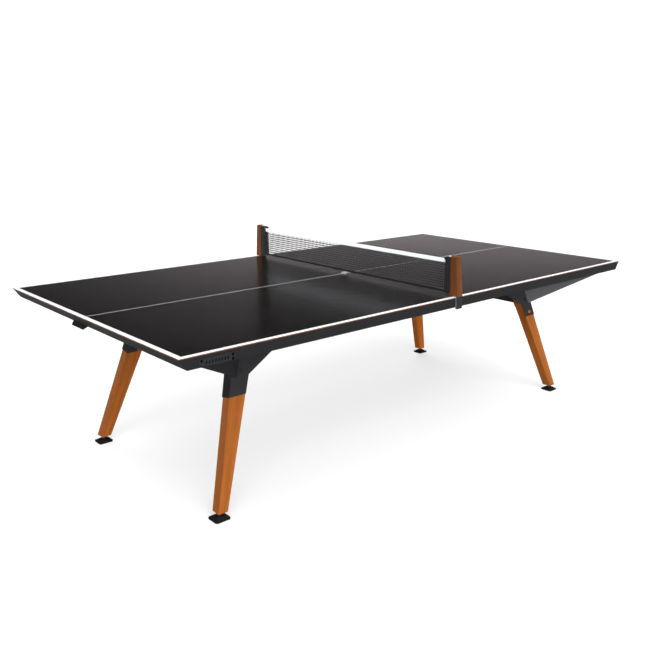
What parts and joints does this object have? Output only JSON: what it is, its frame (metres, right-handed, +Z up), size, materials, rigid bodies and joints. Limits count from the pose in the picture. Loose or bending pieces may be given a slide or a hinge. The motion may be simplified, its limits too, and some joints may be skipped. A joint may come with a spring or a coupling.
{
  "type": "ping pong table",
  "caption": "Ping pong table with a dark laminate top in two halves, folded grey steel under-frame, splayed wooden legs and a lift-off net on wooden posts.",
  "frame": {"origin": "on the floor, under the middle of the table", "axes": "+X along the table's length, +Y across it, +Z up; the long side with the cut-corner plate at the -X end is at -Y"},
  "size_m": [2.74, 1.538, 0.938],
  "materials": {
    "laminate_top": "satin charcoal laminate with painted white lines and an orange-brown core at the edge",
    "hardwood": "oiled red-brown hardwood with straight grain",
    "grey_powder_coat": "fine-textured dark grey powder coat",
    "black_rubber": "black moulded rubber",
    "black_plastic": "black moulded plastic",
    "white_tape": "white woven tape",
    "net_cord": "black knotless net",
    "net_hem": "black woven hem",
    "copper_trim": "copper-coloured satin paint",
    "black_screws": "black zinc-nickel",
    "zinc_steel": "zinc-plated steel"
  },
  "bodies": {
    "table": {"back_screws": "zinc_steel", "bracket_discs": "copper_trim", "bracket_screws": "zinc_steel", "centre_rail_left": "grey_powder_coat", "centre_rail_right": "grey_powder_coat", "cross_beam_left": "grey_powder_coat", "cross_beam_right": "grey_powder_coat", "end_lip_left": "grey_powder_coat", "end_lip_right": "grey_powder_coat", "end_rail_left": "grey_powder_coat", "end_rail_right": "grey_powder_coat", "foot_inserts": "zinc_steel", "joint_bolts": "zinc_steel", "leg_bolts": "zinc_steel", "leg_bracket_fl": "grey_powder_coat", "leg_bracket_fr": "grey_powder_coat", "leg_bracket_nl": "grey_powder_coat", "leg_bracket_nr": "grey_powder_coat", "leg_fl": "hardwood", "leg_fr": "hardwood", "leg_nl": "hardwood", "leg_nr": "hardwood", "lip_screws": "black_screws", "net_bracket_far": "grey_powder_coat", "net_bracket_near": "grey_powder_coat", "panel_screws": "zinc_steel", "side_plate_left": "grey_powder_coat", "side_plate_right": "grey_powder_coat", "side_plate_screws": "black_screws", "side_rail_fl": "grey_powder_coat", "side_rail_fr": "grey_powder_coat", "side_rail_nl": "grey_powder_coat", "side_rail_nr": "grey_powder_coat", "stringer_fl": "grey_powder_coat", "stringer_fr": "grey_powder_coat", "stringer_nl": "grey_powder_coat", "stringer_nr": "grey_powder_coat", "top_left": "laminate_top", "top_right": "laminate_top", "wing_plate_fl": "grey_powder_coat", "wing_plate_fr": "grey_powder_coat", "wing_plate_nl": "grey_powder_coat", "wing_plate_nr": "grey_powder_coat"},
    "net_set": {"net_clip_far": "black_plastic", "net_clip_near": "black_plastic", "net_hem": "net_hem", "net_hooks": "black_plastic", "net_mesh": "net_cord", "net_post_far": "hardwood", "net_post_near": "hardwood", "net_tape": "white_tape", "post_shoes": "zinc_steel"},
    "levelling_foot_nl": {"foot_stud_nl": "zinc_steel", "foot_pad_nl": "black_rubber"},
    "levelling_foot_nr": {"foot_stud_nr": "zinc_steel", "foot_pad_nr": "black_rubber"},
    "levelling_foot_fl": {"foot_stud_fl": "zinc_steel", "foot_pad_fl": "black_rubber"},
    "levelling_foot_fr": {"foot_stud_fr": "zinc_steel", "foot_pad_fr": "black_rubber"}
  },
  "joints": [
    {"name": "net_lift", "type": "slide", "parent": "table", "child": "net_set", "axis": [0, 0, 1], "range_m": [0, 0.045]},
    {"name": "foot_extend_nl", "type": "slide", "parent": "table", "child": "levelling_foot_nl", "axis": [0, 0, -1], "range_m": [0, 0.015]},
    {"name": "foot_extend_nr", "type": "slide", "parent": "table", "child": "levelling_foot_nr", "axis": [0, 0, -1], "range_m": [0, 0.015]},
    {"name": "foot_extend_fl", "type": "slide", "parent": "table", "child": "levelling_foot_fl", "axis": [0, 0, -1], "range_m": [0, 0.015]},
    {"name": "foot_extend_fr", "type": "slide", "parent": "table", "child": "levelling_foot_fr", "axis": [0, 0, -1], "range_m": [0, 0.015]}
  ]
}
